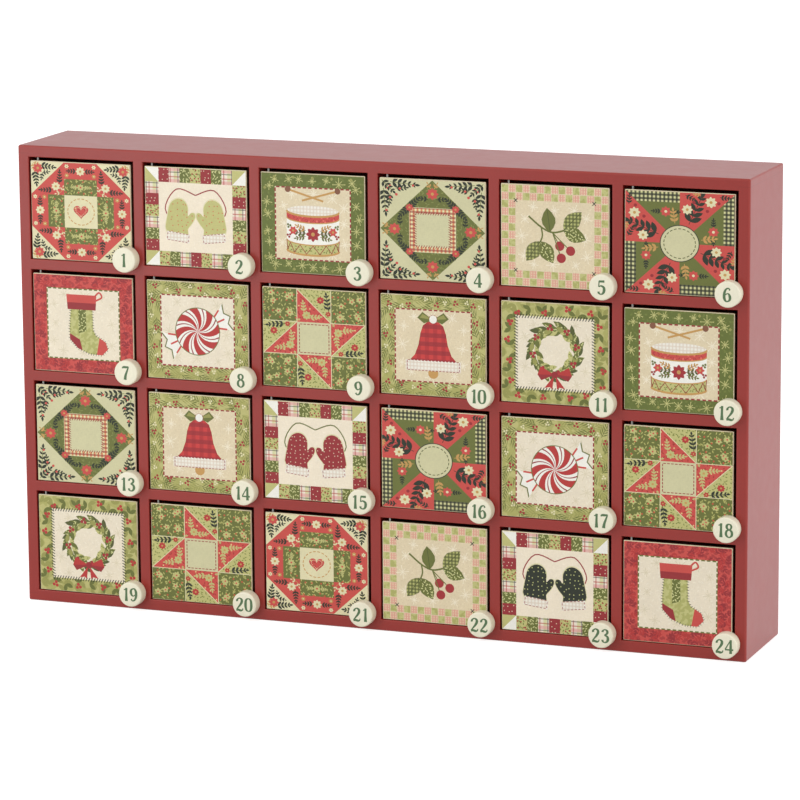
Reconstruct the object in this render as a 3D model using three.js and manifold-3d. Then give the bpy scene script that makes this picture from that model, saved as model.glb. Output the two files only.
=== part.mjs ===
// Countdown box: a painted MDF case whose half-lapped divider grid makes 24 small
// compartments, each closed by an inset door that swings on two metal pins.
// Millimetres. X runs to the right, Y to the back and Z up.
// The origin is under the middle of the whole box, knobs included.

import * as THREE from 'three';
import { mergeVertices } from 'three/addons/utils/BufferGeometryUtils.js';
import Module from 'manifold-3d';

// Compartments
const columns = 6;
const rows = 4;
const openingWidth = 58.5;
const openingHeight = 53;

// Boards
const boxDepth = 59;
const wallThickness = 6;
const dividerThickness = 5.5;
const rabbetDepth = 2; // how far a side board stands up into the top board
const housingDepth = 1.5; // how far a divider's end sits in a wall
const backThickness = 3;
const backLap = 3; // how far the back panel reaches behind each wall
const crossLapShare = 0.5; // part of the depth that a shelf keeps at a crossing
const glueGap = 0.1; // left at every glued joint
const edgeEase = 1; // rounding of the case's outer edges

// Doors
const doorThickness = 3;
const doorEase = 0.4; // rounding of a door's edges
const doorGapTop = 1.75;
const doorGapBottom = 0.3;
const doorGapFree = 1.4; // on the knob's side
const pinFromDoorEdge = 3.75;
const swingClearance = 0.7; // between a turning door's corner and the upright

// Hinge pins
const pinDiameter = 1.2;
const pinRadialClearance = 0.1;
const pinEndClearance = 0.25;
const pinInDoor = 6;
const pinWeb = 1; // wood left between the pin holes above and below a shelf

// Knobs
const knobDiameter = 13;
const knobThickness = 6;
const knobRound = 0.8; // rounding of the front edge
const knobBackEase = 0.4;
const knobFromOpeningSide = 3.5;
const knobFromOpeningBottom = 3;

// Facets
const pinSides = 12;
const knobSides = 20;
const knobRoundSteps = 3;
const easeSteps = 2;

// Sizes that follow
const dividersAcross = columns - 1;
const dividersUp = rows - 1;
const innerWidth = columns * openingWidth + dividersAcross * dividerThickness;
const innerHeight = rows * openingHeight + dividersUp * dividerThickness;
const boxWidth = innerWidth + 2 * wallThickness;
const boxHeight = innerHeight + 2 * wallThickness;
const columnPitch = openingWidth + dividerThickness;
const rowPitch = openingHeight + dividerThickness;
const slotWidth = dividerThickness + 2 * glueGap;
const backFace = boxDepth - backThickness; // front of the back panel
const gridDepth = backFace - glueGap;
const lapDepth = gridDepth * crossLapShare;
const pinHoleDepth = (dividerThickness - pinWeb) / 2;
const pinInBoard = pinHoleDepth - pinEndClearance;
const doorSwingRadius = Math.hypot(pinFromDoorEdge, doorThickness / 2);
const pinFromOpening = doorSwingRadius + swingClearance;
const doorWidth = openingWidth - pinFromOpening + pinFromDoorEdge - doorGapFree;
const doorHeight = openingHeight - doorGapTop - doorGapBottom;
const overcut = 2; // how far a cutting shape runs past the face that it cuts

// Materials
const redPaint = new THREE.MeshStandardMaterial({ color: 0x9c4644, roughness: 0.55, metalness: 0 });
const innerPaint = new THREE.MeshStandardMaterial({ color: 0x8c3d3b, roughness: 0.65, metalness: 0 });
const doorPaint = new THREE.MeshStandardMaterial({ color: 0xe2d9bd, roughness: 0.6, metalness: 0 });
const knobPaint = new THREE.MeshStandardMaterial({ color: 0xe8e2cd, roughness: 0.5, metalness: 0 });

const wasm = await Module();
wasm.setup();

// A closed geometry as a solid that can be joined and cut
function solidFrom(geometry) {
  const bare = geometry.clone();
  bare.deleteAttribute('normal');
  bare.deleteAttribute('uv');
  const merged = mergeVertices(bare);
  return new wasm.Manifold(new wasm.Mesh({
    numProp: 3,
    vertProperties: new Float32Array(merged.attributes.position.array),
    triVerts: new Uint32Array(merged.index.array),
  }));
}

// A finished solid as a named mesh
function meshFrom(solid, name, material) {
  const result = solid.getMesh();
  const geometry = new THREE.BufferGeometry();
  geometry.setAttribute('position', new THREE.BufferAttribute(result.vertProperties, 3));
  geometry.setIndex(new THREE.BufferAttribute(result.triVerts, 1));
  geometry.computeVertexNormals();
  const mesh = new THREE.Mesh(geometry, material);
  mesh.name = name;
  return mesh;
}

// A block between two corners
function block(low, high) {
  const size = high.map((value, axis) => value - low[axis]);
  const geometry = new THREE.BoxGeometry(size[0], size[1], size[2]);
  geometry.translate(low[0] + size[0] / 2, low[1] + size[1] / 2, low[2] + size[2] / 2);
  return solidFrom(geometry);
}

// An upright round rod standing on z = bottom
function rod(x, y, bottom, radius, length) {
  const geometry = new THREE.CylinderGeometry(radius, radius, length, pinSides);
  geometry.rotateX(Math.PI / 2);
  geometry.translate(x, y, bottom + length / 2);
  return solidFrom(geometry);
}

// Places in the grid, from the middle of the case, its front face and its underside
function openingLeft(column) {
  return -innerWidth / 2 + column * columnPitch;
}

function openingBottom(row) {
  return wallThickness + (rows - 1 - row) * rowPitch;
}

function hingeX(column) {
  return openingLeft(column) + pinFromOpening;
}

const hingeY = doorThickness / 2;

// Uprights and shelves are counted from the left and from the top
function uprightLeft(number) {
  return openingLeft(number) - dividerThickness;
}

function shelfTop(number) {
  return openingBottom(number - 1);
}

// A rectangle from (0, 0) with rounded corners
function roundedRectangle(width, height) {
  const centres = [
    [width - edgeEase, height - edgeEase],
    [edgeEase, height - edgeEase],
    [edgeEase, edgeEase],
    [width - edgeEase, edgeEase],
  ];
  const points = [];
  centres.forEach(([x, y], corner) => {
    for (let step = 0; step <= easeSteps; step += 1) {
      const angle = (corner + step / easeSteps) * (Math.PI / 2);
      points.push(new THREE.Vector2(
        x + edgeEase * Math.cos(angle),
        y + edgeEase * Math.sin(angle),
      ));
    }
  });
  return new THREE.Shape(points);
}

// The outer shape of the case with its eased edges: what three prisms share, each
// rounded along one direction
function caseEnvelope() {
  const plain = (width, height, depth) => new THREE.ExtrudeGeometry(
    roundedRectangle(width, height),
    { depth, bevelEnabled: false },
  );
  const alongX = plain(boxDepth, boxHeight, boxWidth);
  alongX.rotateX(Math.PI / 2).rotateZ(Math.PI / 2);
  alongX.translate(-boxWidth / 2, 0, 0);
  const alongY = plain(boxWidth, boxHeight, boxDepth);
  alongY.rotateX(Math.PI / 2);
  alongY.translate(-boxWidth / 2, boxDepth, 0);
  const alongZ = plain(boxWidth, boxDepth, boxHeight);
  alongZ.translate(-boxWidth / 2, 0, 0);
  return solidFrom(alongX).intersect(solidFrom(alongY)).intersect(solidFrom(alongZ));
}

// Blind holes for the hinge pins of every column, drilled up or down from a face
function pinHoles(faceZ, upwards) {
  const radius = pinDiameter / 2 + pinRadialClearance;
  const bottom = upwards ? faceZ - overcut : faceZ - pinHoleDepth;
  const holes = [];
  for (let column = 0; column < columns; column += 1) {
    holes.push(rod(hingeX(column), hingeY, bottom, radius, pinHoleDepth + overcut));
  }
  return holes;
}

function cutAll(solid, tools) {
  return tools.reduce((left, tool) => left.subtract(tool), solid);
}

const envelope = caseEnvelope();
const halfInner = innerWidth / 2;
const halfOuter = boxWidth / 2;
const ceiling = boxHeight - wallThickness; // underside of the top board

// Top board: rabbets over the sides, housings for the uprights, a rebate for the
// back panel and the upper pin holes of the first row of doors
function topBoard() {
  const raw = block(
    [-halfOuter - overcut, -overcut, ceiling],
    [halfOuter + overcut, boxDepth + overcut, boxHeight + overcut],
  );
  const tools = pinHoles(ceiling, true);
  for (const side of [-1, 1]) {
    const ends = [side * (halfInner - glueGap), side * (halfOuter + 2 * overcut)];
    tools.push(block(
      [Math.min(...ends), -2 * overcut, ceiling - overcut],
      [Math.max(...ends), boxDepth + 2 * overcut, ceiling + rabbetDepth],
    ));
  }
  for (let number = 1; number <= dividersAcross; number += 1) {
    tools.push(block(
      [uprightLeft(number) - glueGap, -2 * overcut, ceiling - overcut],
      [uprightLeft(number) - glueGap + slotWidth, backFace, ceiling + housingDepth],
    ));
  }
  tools.push(block(
    [-halfInner - backLap, gridDepth, ceiling - overcut],
    [halfInner + backLap, boxDepth + 2 * overcut, ceiling + backLap],
  ));
  return cutAll(raw.intersect(envelope), tools);
}

// Bottom board: the same joints, seen from below
function bottomBoard() {
  const raw = block(
    [-halfOuter - overcut, -overcut, -overcut],
    [halfOuter + overcut, boxDepth + overcut, wallThickness],
  );
  const tools = pinHoles(wallThickness, false);
  for (const side of [-1, 1]) {
    const ends = [side * (halfInner - glueGap), side * (halfOuter + 2 * overcut)];
    tools.push(block(
      [Math.min(...ends), -2 * overcut, wallThickness - rabbetDepth],
      [Math.max(...ends), boxDepth + 2 * overcut, wallThickness + overcut],
    ));
  }
  for (let number = 1; number <= dividersAcross; number += 1) {
    tools.push(block(
      [uprightLeft(number) - glueGap, -2 * overcut, wallThickness - housingDepth],
      [uprightLeft(number) - glueGap + slotWidth, backFace, wallThickness + overcut],
    ));
  }
  tools.push(block(
    [-halfInner - backLap, gridDepth, wallThickness - backLap],
    [halfInner + backLap, boxDepth + 2 * overcut, wallThickness + overcut],
  ));
  return cutAll(raw.intersect(envelope), tools);
}

// Side boards stand in the rabbets and house the shelf ends
function sideBoard(side) {
  const seat = rabbetDepth - glueGap;
  const faces = [side * halfInner, side * (halfOuter + overcut)];
  const raw = block(
    [Math.min(...faces), -overcut, wallThickness - seat],
    [Math.max(...faces), boxDepth + overcut, ceiling + seat],
  );
  const housing = [side * (halfInner - overcut), side * (halfInner + housingDepth)];
  const tools = [];
  for (let number = 1; number <= dividersUp; number += 1) {
    const shelfUnderside = shelfTop(number) - dividerThickness;
    tools.push(block(
      [Math.min(...housing), -2 * overcut, shelfUnderside - glueGap],
      [Math.max(...housing), backFace, shelfUnderside - glueGap + slotWidth],
    ));
  }
  const rebate = [side * (halfInner - overcut), side * (halfInner + backLap)];
  tools.push(block(
    [Math.min(...rebate), gridDepth, 0],
    [Math.max(...rebate), boxDepth + 2 * overcut, boxHeight],
  ));
  return cutAll(raw.intersect(envelope), tools);
}

// Back panel, let into the rebates from behind
function backPanel() {
  const reach = backLap - glueGap;
  return block(
    [-halfInner - reach, backFace, wallThickness - reach],
    [halfInner + reach, boxDepth, ceiling + reach],
  );
}

// A shelf is slotted from behind wherever an upright crosses it
function shelf(number, crossings) {
  const top = shelfTop(number);
  const underside = top - dividerThickness;
  const reach = halfInner + housingDepth - glueGap;
  const tools = [...pinHoles(top, false), ...pinHoles(underside, true)];
  for (const crossing of crossings) {
    tools.push(block(
      [uprightLeft(crossing) - glueGap, lapDepth, underside - overcut],
      [uprightLeft(crossing) - glueGap + slotWidth, gridDepth + overcut, top + overcut],
    ));
  }
  return cutAll(block([-reach, 0, underside], [reach, gridDepth, top]), tools);
}

// An upright is slotted from the front wherever a shelf crosses it
function upright(number, crossings) {
  const left = uprightLeft(number);
  const right = left + dividerThickness;
  const reach = housingDepth - glueGap;
  const tools = crossings.map((crossing) => {
    const slotBottom = shelfTop(crossing) - dividerThickness - glueGap;
    return block(
      [left - overcut, -overcut, slotBottom],
      [right + overcut, lapDepth + glueGap, slotBottom + slotWidth],
    );
  });
  const raw = block([left, 0, wallThickness - reach], [right, gridDepth, ceiling + reach]);
  return cutAll(raw, tools);
}

// The middle shelf and the middle upright are glued into one cross first
function centreCross(middleShelf, middleUpright, allShelves, allUprights) {
  const shelfPart = shelf(middleShelf, allUprights.filter((number) => number !== middleUpright));
  const uprightPart = upright(middleUpright, allShelves.filter((number) => number !== middleShelf));
  return shelfPart.add(uprightPart);
}

// A door panel with its two hinge pins. Local origin: the hinge axis at the front
// face and the door's bottom edge
function doorWithPins() {
  const left = -pinFromDoorEdge;
  const outline = new THREE.Shape();
  outline.moveTo(left, 0);
  outline.lineTo(left + doorWidth, 0);
  outline.lineTo(left + doorWidth, doorHeight);
  outline.lineTo(left, doorHeight);
  const geometry = new THREE.ExtrudeGeometry(outline, {
    depth: doorThickness - 2 * doorEase,
    bevelEnabled: true,
    bevelThickness: doorEase,
    bevelSize: doorEase,
    bevelOffset: -doorEase,
    bevelSegments: 1,
  });
  geometry.translate(0, 0, doorEase - doorThickness);
  geometry.rotateX(Math.PI / 2);
  const radius = pinDiameter / 2;
  const lowerLength = pinInDoor + doorGapBottom + pinInBoard;
  const upperLength = pinInDoor + doorGapTop + pinInBoard;
  const lowerPin = rod(0, hingeY, -doorGapBottom - pinInBoard, radius, lowerLength);
  const upperPin = rod(0, hingeY, doorHeight - pinInDoor, radius, upperLength);
  return solidFrom(geometry).add(lowerPin).add(upperPin);
}

// A turned disc with a rounded front edge. Local origin: the middle of its back
function knob() {
  const radius = knobDiameter / 2;
  const profile = [
    new THREE.Vector2(0, 0),
    new THREE.Vector2(radius - knobBackEase, 0),
    new THREE.Vector2(radius, knobBackEase),
  ];
  for (let step = 0; step <= knobRoundSteps; step += 1) {
    const angle = (step / knobRoundSteps) * (Math.PI / 2);
    profile.push(new THREE.Vector2(
      radius - knobRound + knobRound * Math.cos(angle),
      knobThickness - knobRound + knobRound * Math.sin(angle),
    ));
  }
  profile.push(new THREE.Vector2(0, knobThickness));
  const geometry = new THREE.LatheGeometry(profile, knobSides);
  geometry.rotateX(Math.PI);
  return solidFrom(geometry);
}

const box = new THREE.Group();
box.position.y = -(boxDepth - knobThickness) / 2;

const allShelves = Array.from({ length: dividersUp }, (_, index) => index + 1);
const allUprights = Array.from({ length: dividersAcross }, (_, index) => index + 1);
const middleShelf = Math.ceil(dividersUp / 2);
const middleUpright = Math.ceil(dividersAcross / 2);

box.add(meshFrom(topBoard(), 'top_board', redPaint));
box.add(meshFrom(bottomBoard(), 'bottom_board', redPaint));
box.add(meshFrom(sideBoard(-1), 'left_side', redPaint));
box.add(meshFrom(sideBoard(1), 'right_side', redPaint));
box.add(meshFrom(backPanel(), 'back_panel', redPaint));

for (const number of allShelves.filter((value) => value !== middleShelf)) {
  box.add(meshFrom(shelf(number, allUprights), `shelf_${number}`, innerPaint));
}
for (const number of allUprights.filter((value) => value !== middleUpright)) {
  box.add(meshFrom(upright(number, allShelves), `upright_${number}`, innerPaint));
}
box.add(meshFrom(
  centreCross(middleShelf, middleUpright, allShelves, allUprights),
  'centre_cross',
  innerPaint,
));

const doorSolid = doorWithPins();
const knobSolid = knob();
for (let row = 0; row < rows; row += 1) {
  for (let column = 0; column < columns; column += 1) {
    const label = String(row * columns + column + 1).padStart(2, '0');
    const door = meshFrom(doorSolid, `door_${label}`, doorPaint);
    door.position.set(hingeX(column), 0, openingBottom(row) + doorGapBottom);
    const disc = meshFrom(knobSolid, `knob_${label}`, knobPaint);
    disc.position.set(
      openingLeft(column) + openingWidth - knobFromOpeningSide,
      0,
      openingBottom(row) + knobFromOpeningBottom,
    );
    box.add(door, disc);
  }
}

export default box;
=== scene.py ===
"""Looks of the advent countdown box: painted case, printed doors and numbered knobs."""

import cmath
import math
import random
from contextlib import contextmanager
from itertools import product

import bmesh
import bpy
from mathutils import Matrix, Vector
from mathutils.geometry import delaunay_2d_cdt


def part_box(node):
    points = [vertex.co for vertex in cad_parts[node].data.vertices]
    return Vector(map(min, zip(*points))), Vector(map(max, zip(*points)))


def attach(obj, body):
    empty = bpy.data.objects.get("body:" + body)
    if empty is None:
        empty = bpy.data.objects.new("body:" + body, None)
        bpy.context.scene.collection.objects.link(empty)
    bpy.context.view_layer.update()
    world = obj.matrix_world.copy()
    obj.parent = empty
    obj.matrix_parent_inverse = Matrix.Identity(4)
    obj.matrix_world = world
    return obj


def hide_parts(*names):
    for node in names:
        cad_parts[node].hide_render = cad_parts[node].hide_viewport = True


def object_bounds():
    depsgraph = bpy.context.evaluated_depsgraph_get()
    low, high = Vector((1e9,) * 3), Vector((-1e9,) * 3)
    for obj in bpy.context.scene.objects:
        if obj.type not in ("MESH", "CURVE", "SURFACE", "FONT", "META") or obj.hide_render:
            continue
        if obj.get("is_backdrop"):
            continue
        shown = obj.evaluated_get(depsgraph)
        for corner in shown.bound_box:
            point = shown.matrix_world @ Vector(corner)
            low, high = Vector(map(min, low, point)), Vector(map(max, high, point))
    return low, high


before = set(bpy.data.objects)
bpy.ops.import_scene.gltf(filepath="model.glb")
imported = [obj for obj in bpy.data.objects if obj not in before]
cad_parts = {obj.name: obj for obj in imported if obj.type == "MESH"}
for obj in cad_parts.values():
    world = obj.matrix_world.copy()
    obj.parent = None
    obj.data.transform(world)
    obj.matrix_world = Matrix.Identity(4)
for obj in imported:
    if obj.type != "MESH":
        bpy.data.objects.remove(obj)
cad_low, cad_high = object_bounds()

MM = 0.001

# Case, in millimetres: the same named sizes as the part's source.
COLUMNS, ROWS = 6, 4
OPENING_WIDTH, OPENING_HEIGHT = 58.5, 53
DEPTH, WALL, DIVIDER = 59, 6, 5.5
RABBET = 2
BACK_THICKNESS, BACK_LAP, GLUE_GAP = 3, 3, 0.1
FRONT = -26.5
BACK = FRONT + DEPTH
GRID_BACK = BACK - BACK_THICKNESS - GLUE_GAP
HALF_INNER = (COLUMNS * OPENING_WIDTH + (COLUMNS - 1) * DIVIDER) / 2
INNER_TOP = WALL + ROWS * OPENING_HEIGHT + (ROWS - 1) * DIVIDER
OUTER_X, HEIGHT = HALF_INNER + WALL, INNER_TOP + WALL
LAP_X = HALF_INNER + BACK_LAP
OUTER_EDGE, OPENING_EDGE, PANEL_EDGE = 1.0, 0.5, 0.3

# Doors, pins and knobs.
DOOR_EASE = 0.4
CREAM_DEPTH = 0.8  # how far the cream paint reaches along a door's edges
PIN_RADIUS, PIN_TIP = 0.6, 0.15
PIN_BELOW, PIN_ABOVE, PIN_IN_DOOR = 2.3, 3.75, 6
PIN_FROM_EDGE = 3.75
KNOB_ROUND, KNOB_BACK_EASE = 0.8, 0.4
KNOB_SEGMENTS, PIN_SEGMENTS = 72, 24
INK_PROUD, INK_DEPTH = 0.03, 0.08
DIGIT_HEIGHT, DIGIT_SCALE, DIGIT_WEIGHT = 6.8, 1.05, 1.25

# Prints: paper on the doors' faces.
PAPER, PAPER_INSET = 0.15, 0.35
door_low, door_high = (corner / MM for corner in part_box("door_01"))
BOARD_BACK = door_high.y - 0.1
PRINT_WIDTH = door_high.x - door_low.x - 2 * PAPER_INSET
PRINT_HEIGHT = door_high.z - door_low.z - PIN_BELOW - PIN_ABOVE - 2 * PAPER_INSET
BLOCK = 50  # side of a quilt block before it is fitted to the print
HALF, THIRD = BLOCK / 2, BLOCK / 6
STITCH_SHARE = 0.66  # how much of its pitch a running stitch fills


def linear(red, green, blue):
    """Blender colour of an sRGB colour given as 0 to 255."""
    channels = [c / 255 for c in (red, green, blue)]
    return (*(c / 12.92 if c <= 0.04045 else ((c + 0.055) / 1.055) ** 2.4 for c in channels), 1)


class Tree:
    """The node tree of a new material or world, with short names for its nodes."""

    def __init__(self, owner):
        owner.use_nodes = True
        self.tree = owner.node_tree
        self.tree.nodes.clear()

    def node(self, kind, inputs=(), **settings):
        made = self.tree.nodes.new("ShaderNode" + kind)
        for key, value in settings.items():
            setattr(made, key, value)
        for key, value in dict(inputs).items():
            if isinstance(value, bpy.types.NodeSocket):
                self.tree.links.new(value, made.inputs[key])
            else:
                made.inputs[key].default_value = value
        return made

    def math(self, operation, *values):
        return self.node("Math", enumerate(values), operation=operation).outputs[0]

    def times(self, *values):
        return self.math("MULTIPLY", *values)

    def plus(self, *values):
        return self.math("ADD", *values)

    def seen_share(self):
        """1 for what the camera sees, directly, mirrored or through glass."""
        ray = self.node("LightPath").outputs
        share = self.math("MAXIMUM", ray["Is Camera Ray"], ray["Is Glossy Ray"])
        return self.math("MAXIMUM", share, ray["Is Transmission Ray"])


class Look(Tree):
    """A material whose patterns lie in the piece's own millimetres."""

    def __init__(self, name):
        self.material = bpy.data.materials.new(name)
        super().__init__(self.material)
        place = self.node("TexCoord").outputs["Object"]
        scaled = self.node("VectorMath", {0: place, "Scale": 1 / MM}, operation="SCALE")
        self.place = scaled.outputs[0]
        self.x, self.y, self.z = self.node("SeparateXYZ", {0: self.place}).outputs
        self.flat = self.node("CombineXYZ", {0: self.x, 1: self.z}).outputs[0]

    def ramp(self, value, start, end, low=0.0, high=1.0):
        ends = {"Value": value, "From Min": start, "From Max": end, "To Min": low, "To Max": high}
        return self.node("MapRange", ends).outputs[0]

    def below(self, value, edge, soft):
        """1 where the value is below the edge, 0 where it is above."""
        return self.ramp(value, edge + soft, edge - soft)

    def noise(self, size, detail, stretch=(1, 1, 1)):
        place = self.node("Mapping", {"Vector": self.place, "Scale": stretch}).outputs[0]
        inputs = {"Vector": place, "Scale": 1 / size, "Detail": detail, "Roughness": 0.6}
        return self.node("TexNoise", inputs).outputs[0]

    def mix(self, share, first, second, blend="MIX"):
        inputs = {0: share, 6: first, 7: second}
        return self.node("Mix", inputs, data_type="RGBA", blend_type=blend).outputs[2]

    def shade(self, colour, share, size, detail, stretch=(1, 1, 1)):
        """The colour, made lighter and darker by that share in patches of that size."""
        grey = self.ramp(self.noise(size, detail, stretch), 0.3, 0.7, 1 - share, 1 + share)
        grey = self.node("CombineColor", {0: grey, 1: grey, 2: grey}).outputs[0]
        return self.mix(1.0, colour, grey, "MULTIPLY")

    def cell(self, pitch, jitter):
        """Place in the nearest cell of a loose scatter, and that cell's random numbers."""
        inputs = {"Vector": self.flat, "Scale": 1 / pitch, "Randomness": jitter}
        cells = self.node("TexVoronoi", inputs, voronoi_dimensions="2D")
        inputs = {0: self.flat, 1: cells.outputs["Position"]}
        away = self.node("VectorMath", inputs, operation="SUBTRACT").outputs[0]
        x, z, _ = self.node("SeparateXYZ", {0: away}).outputs
        return x, z, self.node("SeparateColor", {0: cells.outputs["Color"]}).outputs

    def dots(self, pitch, radius, jitter=0.8):
        x, z, _ = self.cell(pitch, jitter)
        reach = self.math("SQRT", self.plus(self.times(x, x), self.times(z, z)))
        return self.below(reach, radius, 0.08)

    def leaves(self, pitch, length, width):
        """Small pointed leaves, each turned its own way."""
        x, z, chance = self.cell(pitch, 1)
        turn = self.times(chance[0], math.tau)
        sine, cosine = self.math("SINE", turn), self.math("COSINE", turn)
        along = self.plus(self.times(x, cosine), self.times(z, sine))
        across = self.math("SUBTRACT", self.times(z, cosine), self.times(x, sine))
        along = self.times(along, 2 / length)
        across = self.times(self.math("ABSOLUTE", across), 2 / width)
        return self.below(self.plus(across, self.times(along, along)), 1, 0.18)

    def bands(self, axis, pitch, start, width, strength=0.72):
        """Woven stripes across one axis: start and width as shares of the pitch."""
        value = self.x if axis == "x" else self.z
        value = self.math("FRACT", self.plus(self.times(value, 1 / pitch), 50 - start))
        return self.times(self.below(value, width, 0.04), strength)

    def patches(self, size, share):
        """Blotches that cover about that share of the surface."""
        return self.below(self.noise(size, 1), 0.35 + 0.3 * share, 0.02)

    def done(self, colour, roughness, uneven, bump, bump_size, **constants):
        """The finished material. Constants are shader inputs, with _ for a space."""
        rough = self.ramp(self.noise(7, 3), 0.3, 0.7, roughness - uneven, roughness + uneven)
        shader = self.node("BsdfPrincipled", {"Base Color": colour, "Roughness": rough})
        for name, value in constants.items():
            shader.inputs[name.replace("_", " ")].default_value = value
        height = {"Height": self.noise(bump_size, 2), "Distance": bump * MM, "Strength": 1.0}
        normal = self.node("Bump", height).outputs[0]
        self.tree.links.new(normal, shader.inputs["Normal"])
        self.node("OutputMaterial", {"Surface": shader.outputs[0]})
        return self.material


def case_paint(name, colour):
    """Sprayed satin paint: cloudy tone, a fine stipple and a trace of the glued joints."""
    look = Look(name)
    tone = look.shade(linear(*colour), 0.03, 28, 3)
    tone = look.shade(tone, 0.03, 0.9, 3)
    outside = look.math("GREATER_THAN", look.math("ABSOLUTE", look.x), HALF_INNER)
    for joint in (WALL - RABBET, INNER_TOP + RABBET):
        away = look.math("ABSOLUTE", look.plus(look.z, -joint))
        trace = look.times(look.below(away, 0.12, 0.08), look.times(outside, 0.3))
        tone = look.mix(trace, tone, linear(92, 26, 24))
    return look.done(tone, 0.36, 0.02, 0.012, 0.8, Specular_IOR_Level=0.25,
                     Coat_Weight=0.26, Coat_Roughness=0.3)


def brushed_paint(name, colour, roughness, stipple):
    look = Look(name)
    tone = look.shade(linear(*colour), 0.02, 11, 3)
    tone = look.shade(tone, 0.025, 0.7, 3, (1, 1, 0.3))
    return look.done(tone, roughness, 0.05, stipple, 0.7)


def door_board():
    """Fibreboard with cream paint on its front and a little behind it; further back its edges are
    painted dark brown as shade for the narrow gaps around the door.
    """
    look = Look("door_board")
    fibre = look.shade(linear(160, 122, 86), 0.12, 0.35, 3)
    # Dark brown on the door's edges behind the cream: painted shade for the narrow gaps around the
    # closed door.
    gap_shade = look.shade(linear(84, 60, 42), 0.15, 0.5, 3, (1, 1, 0.3))
    cream = look.shade(linear(228, 219, 184), 0.03, 0.8, 3)
    ragged = look.plus(look.y, look.ramp(look.noise(2.5, 3), 0.3, 0.7, -0.2, 0.2))
    tone = look.mix(look.below(look.y, BOARD_BACK, 0.05), fibre, gap_shade)
    tone = look.mix(look.below(ragged, FRONT + CREAM_DEPTH, 0.12), tone, cream)
    return look.done(tone, 0.6, 0.08, 0.03, 0.4)


def pin_steel():
    look = Look("pin_steel")
    # Darker than bare steel: painted shade for the pins, which sit in the narrow gaps above and below
    # the doors.
    tone = look.shade(linear(128, 126, 122), 0.12, 1.2, 3)
    return look.done(tone, 0.42, 0.06, 0.01, 0.4, Metallic=1.0)


# Plain inks, as sRGB colours.
PLAIN = {
    "cream": (222, 215, 174),
    "sage": (205, 201, 160),
    "white": (240, 238, 228),
    "flake": (238, 228, 204),
    "frost": (219, 208, 180),
    "coral": (198, 78, 71),
    "red": (178, 56, 54),
    "berry": (158, 48, 52),
    "wine": (146, 46, 50),
    "lime": (190, 187, 122),
    "leaf": (150, 149, 84),
    "olive": (103, 109, 53),
    "deep": (80, 86, 44),
    "dark": (36, 42, 30),
    "gold": (194, 150, 88),
    "brown": (128, 84, 62),
}


def checks(pitch, width, across, up, strength=0.72):
    """Layers of a woven check of two colours."""
    colours = (("x", across), ("z", up))
    return [("bands", colour, axis, pitch, 0, width, strength) for axis, colour in colours]


# Printed cloths: the ground's ink or colour, then layers of (pattern, ink or colour, numbers of the
# pattern). Layers that come later lie on top.
CLOTHS = {
    "linen": ((238, 226, 203), [("leaves", (243, 233, 214), 3.4, 2.2, 0.3)]),
    "tan_cloth": ((222, 207, 174), [
        ("leaves", (229, 215, 184), 2.6, 1.6, 0.5),
        ("dots", (214, 196, 162), 2.1, 0.25),
    ]),
    "pale_cloth": ((232, 221, 198), [("leaves", (238, 229, 209), 2.9, 1.8, 0.5)]),
    "pine": ((98, 108, 50), [("leaves", (110, 120, 58), 2.6, 1.6, 0.9)]),
    "olive_ditsy": ("olive", [
        ("leaves", (184, 182, 108), 2.0, 1.6, 0.55),
        ("dots", (196, 82, 62), 4.2, 0.45),
    ]),
    "olive_tonal": ("olive", [("leaves", (132, 136, 76), 2.1, 1.6, 0.5)]),
    "lime_ditsy": ("lime", [("leaves", (122, 130, 62), 1.7, 1.3, 0.55)]),
    "coral_ditsy": ("coral", [
        ("leaves", (160, 56, 50), 2.2, 1.6, 0.6),
        ("dots", (226, 196, 138), 4.8, 0.4),
    ]),
    "wine_dots": ("wine", [("dots", (226, 204, 178), 2.3, 0.27, 0.6)]),
    "lime_dots": ("lime", [("dots", (196, 96, 66), 2.8, 0.3, 0.7)]),
    "dark_dots": ("dark", [("dots", (196, 200, 132), 2.4, 0.28, 0.6)]),
    "posy": ("lime", [("leaves", (112, 126, 56), 1.7, 1.4, 0.6), ("dots", "berry", 2.0, 0.42, 0.9)]),
    "scroll": ("olive", [("leaves", (210, 210, 148), 1.5, 1.35, 0.5)]),
    "red_cells": ("coral", [
        ("leaves", (150, 42, 62), 1.6, 1.5, 0.3),
        ("dots", (222, 110, 100), 3.2, 0.5),
    ]),
    "red_tonal": ((198, 79, 73), [("leaves", (166, 60, 58), 2.3, 2.4, 1.4)]),
    "lime_tonal": ((186, 182, 118), [("patches", (170, 168, 100), 5.0, 0.45)]),
    "leaf_cloth": ((190, 189, 126), [("patches", (172, 172, 104), 2.4, 0.5)]),
    "warm_check": ((226, 222, 172), [
        ("bands", (214, 128, 84), "x", 2.1, 0, 0.5, 0.9),
        ("bands", "wine", "z", 2.1, 0, 0.5),
    ]),
    "dark_check": ((208, 206, 150), checks(2.1, 0.5, "dark", "dark", 0.85)),
    "leaf_check": ((178, 180, 110), checks(1.8, 0.5, "deep", "deep")),
    "pink_check": ((226, 202, 168), checks(1.3, 0.5, (214, 140, 128), (220, 160, 144))),
    "white_check": ((238, 234, 222), checks(1.8, 0.4, (222, 208, 190), (222, 208, 190))),
    "buffalo": ((196, 62, 60), checks(4.4, 0.5, (168, 46, 50), (142, 42, 48))),
    "plaid": ((234, 224, 206), [
        ("bands", (202, 206, 142), "x", 5.9, 0, 0.32),
        ("bands", (222, 160, 156), "z", 5.9, 0, 0.3),
        ("bands", "red", "x", 5.9, 0.62, 0.1),
        ("bands", "red", "z", 5.9, 0.45, 0.1),
        ("bands", "dark", "x", 5.9, 0.35, 0.09),
        ("bands", "dark", "z", 5.9, 0.85, 0.09),
    ]),
}
inks = {}


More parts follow.
